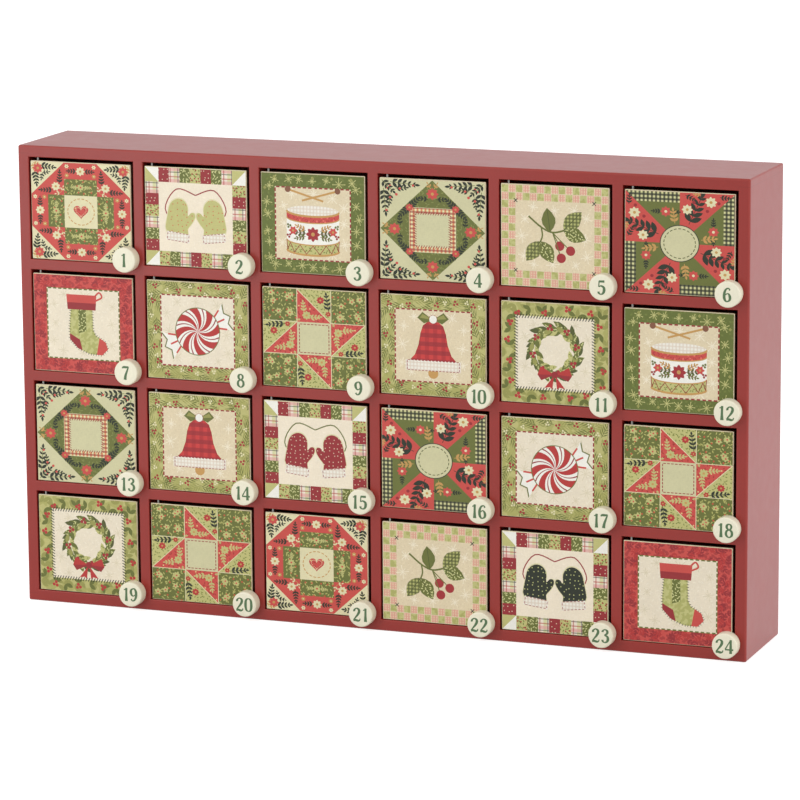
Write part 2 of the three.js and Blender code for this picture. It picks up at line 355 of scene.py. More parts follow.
def ink(name):
    """The material of one ink or printed cloth, on coated paper."""
    if name not in inks:
        ground, layers = CLOTHS.get(name, (name, []))
        look = Look("print_" + name)
        tone = linear(*PLAIN.get(ground, ground))
        for pattern, colour, *numbers in layers:
            tone = look.mix(getattr(look, pattern)(*numbers), tone, linear(*PLAIN.get(colour, colour)))
        tone = look.shade(tone, 0.03, 9, 2)
        for stretch in ((1, 1, 0.25), (0.25, 1, 1)):
            tone = look.shade(tone, 0.035, 0.5, 2, stretch)
        inks[name] = look.done(tone, 0.46, 0.04, 0.012, 0.5, Specular_IOR_Level=0.3)
    return inks[name]


# Flat outlines are lists of complex numbers: x and z in millimetres.


def polar(length, degrees):
    return cmath.rect(length, math.radians(degrees))


def turned(outline, degrees, about=0):
    return [about + (p - about) * polar(1, degrees) for p in outline]


def scaled(outline, factor, about=0):
    return [about + (p - about) * factor for p in outline]


def points(*pairs):
    return [complex(x, z) for x, z in pairs]


def rectangle(centre, width, height, turn=0):
    signs = ((-1, -1), (1, -1), (1, 1), (-1, 1))
    corners = [centre + complex(a * width / 2, b * height / 2) for a, b in signs]
    return turned(corners, turn, centre)


def quarter_round(radius, steps):
    return [polar(radius, 90 * k / steps) for k in range(steps + 1)]


def disc(centre, radius, sides):
    return [centre + polar(radius, 360 * k / sides) for k in range(sides)]


def leaf(root, length, width, turn):
    """Pointed leaf that grows from its root."""
    profile = [(0, 0), (0.15, 0.55), (0.35, 0.95), (0.55, 1), (0.8, 0.6), (1, 0)]
    upper = [complex(a * length, b * width / 2) for a, b in profile]
    lower = [p.conjugate() for p in reversed(upper[1:-1])]
    return turned([root + p for p in upper + lower], turn, root)


def blade(root, length, width, turn):
    """Narrow four-cornered leaf."""
    shape = [0, complex(length * 0.4, width / 2), length, complex(length * 0.4, -width / 2)]
    return turned([root + p for p in shape], turn, root)


def heart(centre, size):
    outline = []
    for k in range(24):
        t = math.tau * k / 24
        up = 13 * math.cos(t) - 5 * math.cos(2 * t) - 2 * math.cos(3 * t) - math.cos(4 * t)
        outline.append(centre + complex(16 * math.sin(t) ** 3, up) * size / 32)
    return outline


def smooth(places, closed, steps):
    """Points of a smooth line through the given (place, width) points."""
    count = len(places)
    line = []
    for i in range(count if closed else count - 1):
        near = [i + k for k in (-1, 0, 1, 2)]
        near = [places[n % count] if closed else places[min(max(n, 0), count - 1)] for n in near]
        for t in (s / steps for s in range(steps)):
            first, last = -t + 2 * t**2 - t**3, t**3 - t**2
            weights = (first, 2 - 5 * t**2 + 3 * t**3, t + 4 * t**2 - 3 * t**3, last)
            line.append(tuple(sum(w * p[part] for w, p in zip(weights, near)) / 2 for part in (0, 1)))
    line.append(places[0] if closed else places[-1])
    return line


def stroke(places, closed=False, steps=5):
    """Four-sided outlines side by side along a line whose points carry their widths."""
    line = smooth(places, closed, steps)
    sides = []
    for i, (place, width) in enumerate(line):
        before = line[i - 1] if i else line[-2 if closed else 0]
        after = line[i + 1] if i + 1 < len(line) else line[1 if closed else -1]
        way = after[0] - before[0]
        across = way / abs(way) * 1j * width / 2
        sides.append((place - across, place + across))
    return [[a, c, d, b] for (a, b), (c, d) in zip(sides, sides[1:])]


def cord(places, width, steps=5):
    """A line of one width, straight between two places and smooth through more."""
    return stroke([(p, width) for p in places], steps=1 if len(places) == 2 else steps)


def marks(outline, pitch):
    """Evenly spaced places along a closed outline, with the direction of the line at each."""
    found = []
    for a, b in zip(outline, outline[1:] + outline[:1]):
        count = max(1, round(abs(b - a) / pitch))
        turn = math.degrees(cmath.phase(b - a))
        found += [(a + (b - a) * (k + 0.5) / count, turn) for k in range(count)]
    return found


def strewn(outline, pitch, spread, pick):
    """The same marks, each moved at random by up to the spread both ways."""
    for at, turn in marks(outline, pitch):
        yield at + complex(pick.uniform(-spread, spread), pick.uniform(-spread, spread)), turn


def dashes(outline, pitch=2.8, width=0.72):
    """Running stitches along a closed outline."""
    return [rectangle(p, pitch * STITCH_SHARE, width, turn) for p, turn in marks(outline, pitch)]


def whips(outline, pitch, length, width, lean=62):
    """Slanting stitches across a closed outline."""
    return [rectangle(p, length, width, turn + lean) for p, turn in marks(outline, pitch)]


# Moves that repeat what is drawn: turned into the other quarters, or mirrored.
QUARTERS = [lambda p, turn=turn: p * turn for turn in (1j, -1, -1j)]
MIRROR = [lambda p: -p.conjugate()]
DIAGONAL = [lambda p: complex(p.imag, p.real)]


class Print:
    """A flat printed design. Shapes lie from the door's centre, and later ones are on top."""

    def __init__(self, ground, square=False):
        self.fit = (PRINT_WIDTH / BLOCK, PRINT_HEIGHT / BLOCK) if square else (1, 1)
        self.shapes = []
        size = (BLOCK, BLOCK) if square else (PRINT_WIDTH, PRINT_HEIGHT)
        self.add(ground, rectangle(0, *size))

    @contextmanager
    def copies(self, moves):
        """Repeats what is drawn inside the with block, moved by each of the moves."""
        start = len(self.shapes)
        yield
        group = self.shapes[start:]
        for move in moves:
            self.shapes += [(name, [move(p) for p in outline]) for name, outline in group]

    def fitted(self):
        a, b = self.fit
        return [(name, [complex(p.real * a, p.imag * b) for p in line]) for name, line in self.shapes]

    def add(self, name, *outlines):
        self.shapes += [(name, outline) for outline in outlines]

    def flower(self, centre, radius, petal_ink, eye_ink, turn=0, petals=8):
        turns = (turn + 360 / petals * k for k in range(petals))
        self.add(petal_ink, *(leaf(centre, radius, radius * 0.62, way) for way in turns))
        self.add(eye_ink, disc(centre, radius * 0.26, 10))

    def sprig(self, root, length, turn, leaf_ink, stem_ink, pairs=3, size=0.42):
        """A stem with pairs of leaves and one at its tip."""
        self.add(stem_ink, *cord([root, root + polar(length, turn)], 0.32))
        for k in range(pairs):
            at = root + polar(length * (k + 0.5) / (pairs + 0.3), turn)
            reach = length * size * (1 - 0.12 * k)
            self.add(leaf_ink, *(leaf(at, reach, reach * 0.46, turn + side * 48) for side in (-1, 1)))
        tip = root + polar(length * 0.9, turn)
        self.add(leaf_ink, leaf(tip, length * size * 0.8, length * size * 0.36, turn))

    def spray(self, centre, radius, turn, petal_ink, eye_ink, leaf_ink, reach):
        """A flower between two sprigs."""
        for side in (0, 180):
            root = centre + polar(radius * 0.8, turn + side)
            self.sprig(root, reach, turn + side, leaf_ink, leaf_ink, 3, 0.44)
        self.flower(centre, radius, petal_ink, eye_ink, turn)

    def twig(self, root, length, turn, name):
        """A small pine twig with pairs of needles."""
        pairs = 5
        self.add(name, *cord([root, root + polar(length, turn)], 0.35))
        for k in range(pairs):
            at = root + polar(length * (k + 0.3) / pairs, turn)
            needle = 4.4 * (1 - 0.45 * k / pairs)
            self.add(name, *(blade(at, needle, 0.6, turn + side * 42) for side in (-1, 1)))

    def berries(self, centre, radius, name, turn, spread=1.25):
        places = (centre + polar(radius * spread, turn + 120 * k) for k in range(3))
        self.add(name, *(disc(at, radius, 10) for at in places))

    def flake(self, centre, radius, name, turn):
        """A snow star of four crossed lines with dots at the ends of two."""
        for k in range(4):
            reach = radius * (0.72 if k % 2 else 1)
            self.add(name, rectangle(centre, 2 * reach, 0.34, turn + 45 * k))
            if k % 2 == 0:
                ends = (centre + polar(side * reach, turn + 45 * k) for side in (-1, 1))
                self.add(name, *(disc(end, 0.3, 6) for end in ends))

    def flakes(self, ring, pitch, radius, name, seed):
        pick = random.Random(seed)
        for at, _ in strewn(ring, pitch, 1, pick):
            self.flake(at, radius * pick.uniform(0.6, 1), name, pick.uniform(0, 90))

    def panel(self, cloth, stitch_ink, whip=False):
        """A stitched-on panel of another cloth. What it would wholly hide is left out."""
        outline = rectangle(0, PANEL_WIDTH, PANEL_HEIGHT)
        self.shapes = [s for s in self.shapes if not all(
            abs(p.real) < PANEL_WIDTH / 2 and abs(p.imag) < PANEL_HEIGHT / 2 for p in s[1])]
        self.add("cream", scaled(outline, 1.012))
        self.add(cloth, outline)
        self.add(stitch_ink, *(whips(outline, 1.5, 2.3, 0.46) if whip else dashes(outline)))


PANEL_WIDTH, PANEL_HEIGHT = 40.5, 36.5
FLAKE_RING = rectangle(0, 33, 29)
BLOCK_CENTRE = rectangle(0, 2 * THIRD, 2 * THIRD)


def border_ring(depth=7.2):
    """The middle line of the border around a panel."""
    return rectangle(0, PRINT_WIDTH - depth, PRINT_HEIGHT - depth)


def churn_dash():
    """Quilt block of a coral ring, four bars and a heart."""
    made = Print("cream", square=True)
    with made.copies(QUARTERS):
        made.add("coral", [complex(THIRD, THIRD), complex(HALF, THIRD), complex(THIRD, HALF)])
        with made.copies(DIAGONAL):
            made.sprig(23.2 + 20.4j, 7.2, -97, "dark", "olive", 4, 0.38)
            made.sprig(19.2 + 19.4j, 3.4, -78, "dark", "dark", 2, 0.5)
            made.sprig(24.0 + 24.2j, 3.0, -172, "gold", "gold", 2, 0.5)
            made.sprig(14.2 + 10.7j, 6.4, -2, "dark", "dark", 4, 0.34)
            made.sprig(10.0 + 9.8j, 2.6, -20, "cream", "gold", 1, 0.6)
        made.flower(21.6 + 21.6j, 2.7, "coral", "gold")
        made.flower(12.6 + 12.6j, 2.4, "cream", "gold", 20)
        made.add("coral", rectangle(2.5j * THIRD, 2 * THIRD, THIRD))
        made.spray(20.8j, 2.4, 0, "cream", "gold", "dark", 4.4)
        made.add("olive_ditsy", rectangle(1.5j * THIRD, 2 * THIRD, THIRD))
        made.spray(12.6j, 1.9, 0, "lime", "coral", "lime", 3.2)
        with made.copies(MIRROR):
            made.flower(6.9 + 23.2j, 1.2, "cream", "gold", 0, 6)
            made.flower(6.9 + 18.5j, 1.2, "gold", "cream", 0, 6)
    made.add("gold", *dashes(disc(0, 6.8, 20), 2.1, 0.45))
    made.add("coral_ditsy", heart(0.3j, 7.6))
    made.add("cream", *dashes(heart(0.3j, 5.4), 0.8, 0.24))
    return made


def patchwork_border(made, cloths):
    """Small patches all round the edge, with two-coloured corners."""
    edge = 7.4
    wide, high = PRINT_WIDTH - 2 * edge, PRINT_HEIGHT - 2 * edge
    across, up = 7, 6
    patches = []
    for side in (1, -1):
        for k in range(across):
            x = wide * ((k + 0.5) / across - 0.5)
            patches.append(rectangle(complex(side * x, side * (high + edge) / 2), wide / across, edge))
        for k in range(up):
            z = high * ((k + 0.5) / up - 0.5)
            patches.append(rectangle(complex(side * (wide + edge) / 2, -side * z), edge, high / up))
    for k, outline in enumerate(patches):
        made.add(cloths[k % len(cloths)], outline)
    for a, b in ((-1, -1), (-1, 1), (1, -1), (1, 1)):
        corner = rectangle(complex(a * (wide + edge) / 2, b * (high + edge) / 2), edge, edge)
        left_out = 1 if a == b else 2
        made.add("white", corner)
        made.add("lime", corner[:left_out] + corner[left_out + 1:])


def mittens(cloth):
    """Patchwork border around a pair of mittens on a cord."""
    made = Print("linen")
    half_round = ["wine_dots", "plaid", "scroll", "posy"]
    patchwork_border(made, half_round + ["wine_dots", "scroll", "plaid", "posy"])
    middle = -9.7 - 2.2j
    fingers = points((-5.6, -6.2), (-6.2, 2.4), (-5.3, 8.4), (-2, 11.4), (1.7, 11.2), (4.3, 8.2))
    thumb = points((4.9, 3.6), (6.4, 5.4), (8.3, 5.5), (8.9, 3.4), (7.6, 0.2), (5.6, -3), (5.3, -6.2))
    hand = [p for p, _ in smooth([(p, 0) for p in fingers + thumb], True, 3)][:-1]
    hand = turned([middle + p for p in hand], -7, middle)
    cuff = rectangle(middle - 0.2 - 8j, 13, 4.6, -7)
    with made.copies(MIRROR):
        made.add("olive" if cloth == "wine_dots" else "wine",
                 *cord(points((-9.6, -5), (-16.8, 4), (-10.4, 14.4), (0, 11.6)), 0.6))
        made.add("cream", scaled(hand, 1.06, middle))
        made.add(cloth, hand)
        made.add("white_check", cuff)
        made.add("wine", *dashes(scaled(cuff, 0.9, middle - 0.2 - 8j), 1.8, 0.3))
    return made


def drum():
    """Snow border around a toy drum with a flowered band."""
    made = Print("pine")
    made.flakes(border_ring(), 7.2, 3.3, "lime", 5)
    made.add("leaf", *(rectangle(at, 1.3, 1.3, 45) for at, _ in marks(border_ring(3.6), 11)))
    made.panel("tan_cloth", "wine")
    made.flakes(FLAKE_RING, 10.5, 3.4, "flake", 3)
    half, sag, steps = 14.2, 2.8, 12

    def curve(z, deep=sag):
        angles = [math.pi * (k / steps - 0.5) for k in range(steps + 1)]
        return [complex(half * math.sin(a), z - deep * math.cos(a)) for a in angles]

    for turn in (16, 164):
        stick = turned([-6 + 13.4j, 14 + 13.4j], turn, 13.4j)
        made.add("gold", *cord(stick, 1))
        made.add("brown", disc(stick[1], 1.6, 12))
    levels = [-13.2, -8.0, 3.2, 6.6]
    for low, high, name in zip(levels, levels[1:], ("lime_ditsy", "white", "red_cells")):
        made.add(name, curve(low) + curve(high)[::-1])
    made.add("white_check", curve(levels[3]) + curve(levels[3], -sag)[::-1])
    for z, width in zip(levels, (1.0, 0.6, 0.6, 1.0)):
        made.add("gold", *cord(curve(z), width, steps=1))
    upper, lower = curve(levels[1] - 0.3), curve(levels[0] + 0.5)
    lacing = [(upper, lower)[k % 2][k] for k in range(steps + 1)]
    for ends in zip(lacing, lacing[1:]):
        made.add("wine", *cord(ends, 0.36))
    with made.copies(MIRROR):
        made.sprig(3.4 - 5.0j, 6.4, 6, "deep", "brown", 3, 0.44)
        made.sprig(4.0 - 3.4j, 5.4, 26, "gold", "brown")
        made.sprig(4.0 - 6.4j, 5.4, -12, "olive", "brown")
        made.flower(10.8 - 3.6j, 2.4, "coral", "gold", 0, 6)
        made.berries(13.0 - 6.2j, 0.6, "wine", 20)
        made.berries(13.0 - 1.2j, 0.6, "olive", 50)
    made.flower(-5.2j, 3.9, "berry", "gold")
    return made


def economy():
    """Quilt block of a square in a square in a square."""
    made = Print("sage", square=True)
    made.add("olive_tonal", points((HALF, 0), (0, HALF), (-HALF, 0), (0, -HALF)))
    with made.copies(QUARTERS):
        with made.copies(DIAGONAL):
            made.sprig(23.4 + 20.2j, 13, -95, "dark", "olive", 5, 0.27)
            made.sprig(20.2 + 17.6j, 5.4, -84, "dark", "olive")
            made.add("coral", *(disc(at, 0.62, 8) for at in (20.2 + 15.6j, 22 + 9.2j, 21.4 + 20.2j)))
        made.sprig(24.2 + 24.2j, 8.0, -135, "dark", "olive", 4, 0.36)
        made.add("coral", disc(17.2 + 17.2j, 0.7, 8))
        for side in (-1, 1):
            made.sprig(11.2 + 11.2j, 6.4, 45 + side * 90, "dark", "dark", 4, 0.42)
            made.sprig(complex(15.4, side * 2.0), 3.8, side * 84, "dark", "dark", 2, 0.5)
            made.sprig(complex(20.6, side * 0.8), 3.0, side * 28, "gold", "gold", 1, 0.6)
        made.flower(18.2, 3.0, "coral", "gold")
    made.add("cream", rectangle(0, 22.4, 22.4))
    made.add("warm_check", rectangle(0, 22, 22))
    with made.copies(QUARTERS):
        made.flower(11 + 11j, 2.0, "coral", "gold", 45)
    made.add("sage", BLOCK_CENTRE)
    made.add("wine", *whips(BLOCK_CENTRE, 1.2, 1.6, 0.34))
    return made


def mistletoe():
    """Checked border around a twig with printed leaves and three berries."""
    made = Print("tan_cloth")
    across, up = 15, 13
    wide, high = PRINT_WIDTH / across, PRINT_HEIGHT / up
    for i in range(across):
        for j in range(up):
            if min(i, j, across - 1 - i, up - 1 - j) < 2:
                at = complex((i + 0.5) * wide - PRINT_WIDTH / 2, (j + 0.5) * high - PRINT_HEIGHT / 2)
                cloth = ("leaf_cloth", "pink_check")[(i + j) % 2]
                made.add(cloth, rectangle(at, wide - 0.3, high - 0.3))
    inner = rectangle(0, PRINT_WIDTH - 4 * wide, PRINT_HEIGHT - 4 * high)
    made.flakes(scaled(inner, 0.8), 9.5, 3.4, "flake", 9)
    for corner in inner:
        made.add("dark", *(rectangle(corner, 2.6, 0.42, turn) for turn in (45, -45)))
    made.add("olive", *cord(points((-13.6, 9.8), (-7, 4.6), (-1, 2.2), (5.4, 3.6)), 0.9))
    made.add("olive", *cord(points((-7, 4.6), (-6.4, 0.4), (-7.6, -3)), 0.8))
    for root, length, turn, cloth in (
        (4.6 + 3.4j, 13.4, 46, "leaf_check"),
        (4.6 + 3.4j, 12.4, -20, "scroll"),
        (-7.4 - 2.4j, 12.6, -126, "leaf_check"),
        (-7.4 - 2.4j, 12.6, -58, "scroll"),
        (-2.4 + 2.4j, 12.0, 98, "olive"),
    ):
        made.add(cloth, leaf(root, length, length * 0.6, turn))
        made.add("deep", *cord([root, root + polar(length * 0.92, turn)], 0.34))
    for at in points((2.6, -4.4), (8.2, -6.6), (3.4, -10.4)):
        made.add("olive", *cord([-1.2 + 2.2j, at], 0.5))
        made.add("berry", disc(at, 2.4, 22))
    return made


def pinwheel():
    """Quilt block of eight turning triangles around a round centre."""
    made = Print("coral", square=True)
    with made.copies(QUARTERS):
        made.add("dark_check", [0, complex(HALF, 0), complex(HALF, HALF)])
        made.add("olive", [0, complex(20, 20), complex(20, 0)])
        made.sprig(4.2 + 9.6j, 15.6, 67, "dark", "dark", 5, 0.36)
        made.flower(3.4 + 16.8j, 2.6, "cream", "gold")
        made.flower(14.2 + 20.8j, 2.8, "cream", "gold", 5)
        made.sprig(2.6 + 23.8j, 4.6, -28, "dark", "dark")
        made.sprig(18.2 + 23.4j, 4.6, -4, "dark", "dark")
        made.add("wine", *(disc(at, 0.8, 10) for at in points((12.6, 16.4), (17.8, 20.4), (6.4, 20.4))))
        made.sprig(9.6 + 24.2j, 3.0, 175, "gold", "gold", 2, 0.5)
        made.spray(15.4 + 6.4j, 2.6, 90, "coral", "cream", "dark", 4.0)
        made.sprig(9.8 + 2.2j, 6.4, 8, "gold", "gold")
    made.add("dark", disc(0, 9.1, 40))
    made.add("sage", disc(0, 8.7, 40))
    made.add("deep", *dashes(disc(0, 7.3, 22), 2.0, 0.4))
    return made


def stocking():
    """Tonal leafy border around a stocking."""
    made = Print("red_tonal")
    pick = random.Random(2)
    for depth, name in ((11.4, "wine"), (4.2, "wine"), (7.6, "red")):
        for at, _ in strewn(border_ring(depth), 4.6, 1, pick):
            made.sprig(at, 3.6, pick.uniform(0, 360), name, name, 2, 0.62)
    made.panel("pale_cloth", "olive")
    made.flakes(FLAKE_RING, 10.5, 3.2, "frost", 14)
    front = points((-7.0, 9), (5.2, 9), (5.4, -2.4), (6.8, -5.4), (12.4, -8.8), (13.6, -12.4))
    leg = front + points((10.4, -15.6), (3.4, -15.4), (-3.4, -12.6), (-7.8, -8), (-7.9, -2))
    made.add("leaf_cloth", leg)
    made.add("dark", *whips(leg, 1.4, 1.3, 0.28, 80))
    made.add("scroll", points((-2.8, 9), (1.4, 9), (1.6, -3.4), (-2.8, -4.8)))
    made.add("coral", points((8.9, -6.6), (12.4, -8.8), (13.6, -12.4), (10.4, -15.6), (7.2, -15.5)))
    made.add("wine", points((-7.86, -5), (-7.8, -8), (-3.4, -12.6), (-0.8, -13.7), (-2.2, -8)))
    made.add("coral", points((-8.8, 7.6), (7.0, 7.6), (7.6, 15.4), (-9.4, 15.4)))
    made.add("wine", points((-8.8, 7.6), (7.0, 7.6), (7.3, 11.2), (-9.1, 11.2)))
    made.add("coral", *cord(points((6, 14), (9, 17.0), (10.6, 14.6), (7, 12.6)), 0.9))
    return made


def pine_border(made, seed):
    """Pine twigs and berries strewn along the border."""
    pick = random.Random(seed)
    for depth, name, lean in ((6.6, "leaf", 200), (10.4, "olive", 25), (4.4, "olive", -25)):
        for at, turn in strewn(border_ring(depth), 9.6, 1.2, pick):
            made.twig(at, 8.2, turn + lean + pick.uniform(-18, 18), name)
    for k, (at, _) in enumerate(strewn(border_ring(), 5.4, 2.4, pick)):
        made.berries(at, 0.5 + 0.14 * (k % 2), ("cream", "berry")[k % 2], pick.uniform(0, 120), 1.5)


def peppermint():
    """Pine border around a wrapped round sweet."""
    made = Print("lime_tonal")
    pine_border(made, 8)
    made.panel("pale_cloth", "wine")
    made.flakes(FLAKE_RING, 10.5, 3.6, "frost", 21)
    radius = 12
    fan = points((9, 0), (18.4, 7.4), (17.2, 2.8), (19.8, 0), (17.2, -2.8), (18.4, -7.4))
    for turn in (26, 206):
        made.add("olive", turned(scaled(fan, 1.04), turn))
        made.add("white", turned(fan, turn))
        for lift in (-19, 0, 19):
            crease = [polar(10, turn + lift * 0.6), polar(16.6, turn + lift)]
            made.add("coral", *cord(crease, 0.9))
    made.add("olive", disc(0, radius + 0.45, 48))
    made.add("white", disc(0, radius, 48))
    for k in range(8):
        rim = [(radius * s / 8, 45 * k + 5.6 * s) for s in range(9)]
        arc = [polar(radius, 45 * k + 44.8 + step) for step in (5.5, 11, 16.5, 22.5)]
        made.add("red", [polar(*p) for p in rim] + arc + [polar(r, a + 22.5) for r, a in rim[-2:0:-1]])
        made.add("wine", *stroke([(polar(r, a + 33), 0.12 + 0.045 * r) for r, a in rim[1:]], steps=2))
    return made


def friendship():
    """Quilt block of a turning star."""
    made = Print("olive_ditsy", square=True)
    pick = random.Random(4)
    cell = [complex(-THIRD, THIRD), complex(THIRD, THIRD), complex(THIRD, HALF), complex(-THIRD, HALF)]
    with made.copies(QUARTERS):
        for _ in range(9):
            at = complex(pick.uniform(10.5, 23.4), pick.uniform(10.5, 23.4))
            made.flower(at, 1.7, "lime", "coral", pick.uniform(0, 72), 5)
        made.add("lime_ditsy", cell)
        made.sprig(7.2 + 14.4j, 8.6, 98, "dark", "dark", 4, 0.32)
        made.add("coral_ditsy", [cell[0], cell[1], cell[3]])
        made.flower(3.2 + 19.8j, 2.0, "red", "gold")
        made.flower(7.0 + 13.0j, 1.5, "red", "gold", 20, 6)
        made.flower(-3.6 + 11.8j, 2.3, "lime", "gold")
        made.sprig(-2.2 + 10.6j, 5.4, 8, "lime", "lime", 3, 0.4)
        made.sprig(-4.8 + 13.4j, 5.2, 96, "lime", "lime", 3, 0.4)
        made.sprig(-6.6 + 9.8j, 2.2, 200, "lime", "lime", 3, 0.4)
        for seam in (cell[2:0:-1], cell[3::-3], cell[1::2]):
            made.add("cream", *cord(seam, 0.34))
    made.add("sage", BLOCK_CENTRE)
    made.add("wine", *dashes(rectangle(0, 2 * THIRD - 2.2, 2 * THIRD - 2.2), 1.9, 0.42))
    return made


def bell():
    """Pine border around a checked bell with a white hem."""
    made = Print("lime_tonal")
    pine_border(made, 21)
    made.panel("tan_cloth", "wine")
    made.flakes(FLAKE_RING, 10.5, 3.6, "flake", 8)
    side = points((2.8, 12.4), (5.4, 10.4), (6.8, 6.4), (7.8, 0.6), (9.8, -4.6), (12.8, -7.8))
    body = side + [-p.conjugate() for p in reversed(side)]
    hem = rectangle(-10j, 29.5, 5.4)
    made.add("cream", scaled(body, 1.05))
    made.add("gold", disc(-13.8j, 2.7, 20))
    made.add("buffalo", body)
    made.add("white_check", hem)
    made.add("wine", *dashes(scaled(hem, 0.94, -10j), 1.9, 0.34))
    with made.copies(MIRROR):
        made.add("olive", points((0, 13.4), (5.6, 17.2), (8.4, 14.2), (4.8, 11.4)))
        made.add("leaf", points((0, 13.4), (5.6, 16.2), (7.0, 14.2)))
    made.add("white", disc(13.6j, 2.0, 18))
    made.add("wine", *dashes(disc(13.6j, 2.3, 14), 0.95, 0.3))
    return made


def wreath():
    """Leafy border around a wreath with a bow."""
    made = Print("lime_tonal")
    pick = random.Random(11)
    for depth, name in ((11.2, "leaf"), (3.6, "leaf"), (7.4, "olive")):
        for at, _ in strewn(border_ring(depth), 7, 1.4, pick):
            turn = pick.uniform(0, 360)
            made.add(name, *(leaf(at, 4.4, 2.2, turn + side) for side in (0, 74)))
    for at, _ in strewn(border_ring(), 11, 2, pick):
        made.berries(at, 0.85, "red", pick.uniform(0, 120), 1.2)
    made.panel("pale_cloth", "dark", whip=True)
    made.flakes(FLAKE_RING, 12, 3.2, "frost", 4)
    lift = 1.6j
    for radius, count, length, lean, names in (
        (11.2, 30, 6.0, 60, ("scroll", "deep")),
        (10.6, 26, 5.6, 122, ("lime_ditsy", "olive")),
        (11.0, 22, 5.0, 86, ("leaf", "scroll")),
    ):
        for k in range(count):
            turn = 360 * k / count + pick.uniform(-4, 4)
            at = lift + polar(radius + pick.uniform(-1, 1), turn)
            made.add(names[k % 2], leaf(at, length, 2.5, turn + lean + pick.uniform(-14, 14)))
    for k in range(8):
        made.berries(lift + polar(11.6, 45 * k + 12), 0.85, "berry", 40 * k)
    with made.copies(MIRROR):
        made.add("red", points((0, -10.4), (7.4, -6.6), (9.0, -10.8), (7.0, -13.6)))
        made.add("wine", points((0, -10.4), (7.0, -13.6), (9.0, -10.8)))
        made.add("red", points((0.4, -11), (5.4, -17.4), (2.6, -16.8), (1.2, -17.8)))
    made.add("wine", disc(-10.5j, 1.8, 14))
    return made


PATTERNS = {
    churn_dash: (1, 21),
    drum: (3, 12),
    economy: (4, 13),
    mistletoe: (5, 22),
    pinwheel: (6, 16),
    stocking: (7, 24),
    peppermint: (8, 17),
    friendship: (9, 18, 20),
    bell: (10, 14),
    wreath: (11, 19),
}
MITTENS = {2: "lime_dots", 15: "wine_dots", 23: "dark_dots"}


def add_object(name, mesh, materials, place=(0, 0, 0)):
    for material in materials:
        mesh.materials.append(material)
    made = bpy.data.objects.new(name, mesh)
    made.location = Vector(place) * MM
    bpy.context.scene.collection.objects.link(made)
    return made


def mesh_from(bm, name, smooth_faces=False):
    bmesh.ops.recalc_face_normals(bm, faces=bm.faces)
    mesh = bpy.data.meshes.new(name)
    bm.to_mesh(mesh)
    bm.free()
    if smooth_faces:
        mesh.polygons.foreach_set("use_smooth", [True] * len(mesh.polygons))
    return mesh


TRIANGLES_INSIDE, MERGE_DISTANCE = 1, 1e-4


def divided(bm, shapes, on_ground):
    """Faces at y 0 of the shapes' outlines, with the later shapes on top.

    Where on_ground is true, the first shape's outline cuts off the rest.
    Returns the faces, whose material index is that of their name in the names returned.
    """
    places, outlines = [], []
    for _, outline in shapes:
        area = sum((a.conjugate() * b).imag for a, b in zip(outline, outline[1:] + outline[:1]))
        ordered = outline if area > 0 else outline[::-1]
        outlines.append(list(range(len(places), len(places) + len(ordered))))
        places += [Vector((complex(p).real, complex(p).imag)) for p in ordered]
    cut = delaunay_2d_cdt(places, [], outlines, TRIANGLES_INSIDE, MERGE_DISTANCE)
    corners, _, triangles, _, _, sources = cut
    names = sorted({name for name, _ in shapes})
    vertices = [bm.verts.new((p.x * MM, 0, p.y * MM)) for p in corners]
    faces = []
    for triangle, source in zip(triangles, sources):
        if 0 in source if on_ground else source:
            face = bm.faces.new([vertices[k] for k in triangle])
            face.material_index = names.index(shapes[max(source)][0])
            faces.append(face)
    bmesh.ops.delete(bm, geom=[v for v in vertices if not v.link_faces], context="VERTS")
    return faces, names


def thickened(bm, faces, thickness, convex):
    """Closes the sheet behind its front faces, with a plainer back if its outline is convex."""
    rim = [edge.link_loops[0] for edge in bm.edges if len(edge.link_faces) == 1]
    rim = [(loop.vert, loop.link_loop_next.vert) for loop in rim]
    copied = (v for pair in rim for v in pair) if convex else (v for f in faces for v in f.verts)
    behind = {v: bm.verts.new(v.co + Vector((0, thickness * MM, 0))) for v in dict.fromkeys(copied)}
    for a, b in rim:
        bm.faces.new([b, a, behind[a], behind[b]])
    if convex:
        centre = bm.verts.new((0, thickness * MM, 0))
        for a, b in rim:
            bm.faces.new([behind[b], behind[a], centre])
    else:
        for face in faces:
            bm.faces.new([behind[v] for v in reversed(face.verts)])


# Where the front and the rest of a printed paper lie on its UV map: start and width, or height.
UV_FRONT, UV_REST, UV_UP = (0.004, 0.936), (0.955, 0.04), (0.004, 0.992)


def print_mesh(shapes):
    """The printed paper, with its front and the rest side by side on its UV map."""
    bm = bmesh.new()
    uv = bm.loops.layers.uv.new("OFBake")
    faces, names = divided(bm, shapes, True)
    thickened(bm, faces, PAPER, True)
    front = set(faces)
    for face in bm.faces:
        start, width = UV_FRONT if face in front else UV_REST
        for loop in face.loops:
            across = loop.vert.co.x / (PRINT_WIDTH * MM) + 0.5
            up = loop.vert.co.z / (PRINT_HEIGHT * MM) + 0.5
            loop[uv].uv = (start + width * across, UV_UP[0] + UV_UP[1] * up)
    return mesh_from(bm, "door_print"), names


def lathe(bm, profile, segments, centre, axis):
    """Closed round solid: profile is a list of (radius, distance along the axis)."""
    rings = []
    for radius, along in profile:
        ring = []
        for k in range(segments if radius > 0 else 1):
            spot = polar(radius, 360 * k / segments)
            place = (spot.real, along, spot.imag) if axis == "y" else (spot.real, spot.imag, along)
            ring.append(bm.verts.new((Vector(place) + Vector(centre)) * MM))
        rings.append(ring)
    for low, high in zip(rings, rings[1:]):
        for k in range(segments):
            around = ((low, k), (low, k + 1), (high, k + 1), (high, k))
            bm.faces.new(list(dict.fromkeys(ring[j % len(ring)] for ring, j in around)))


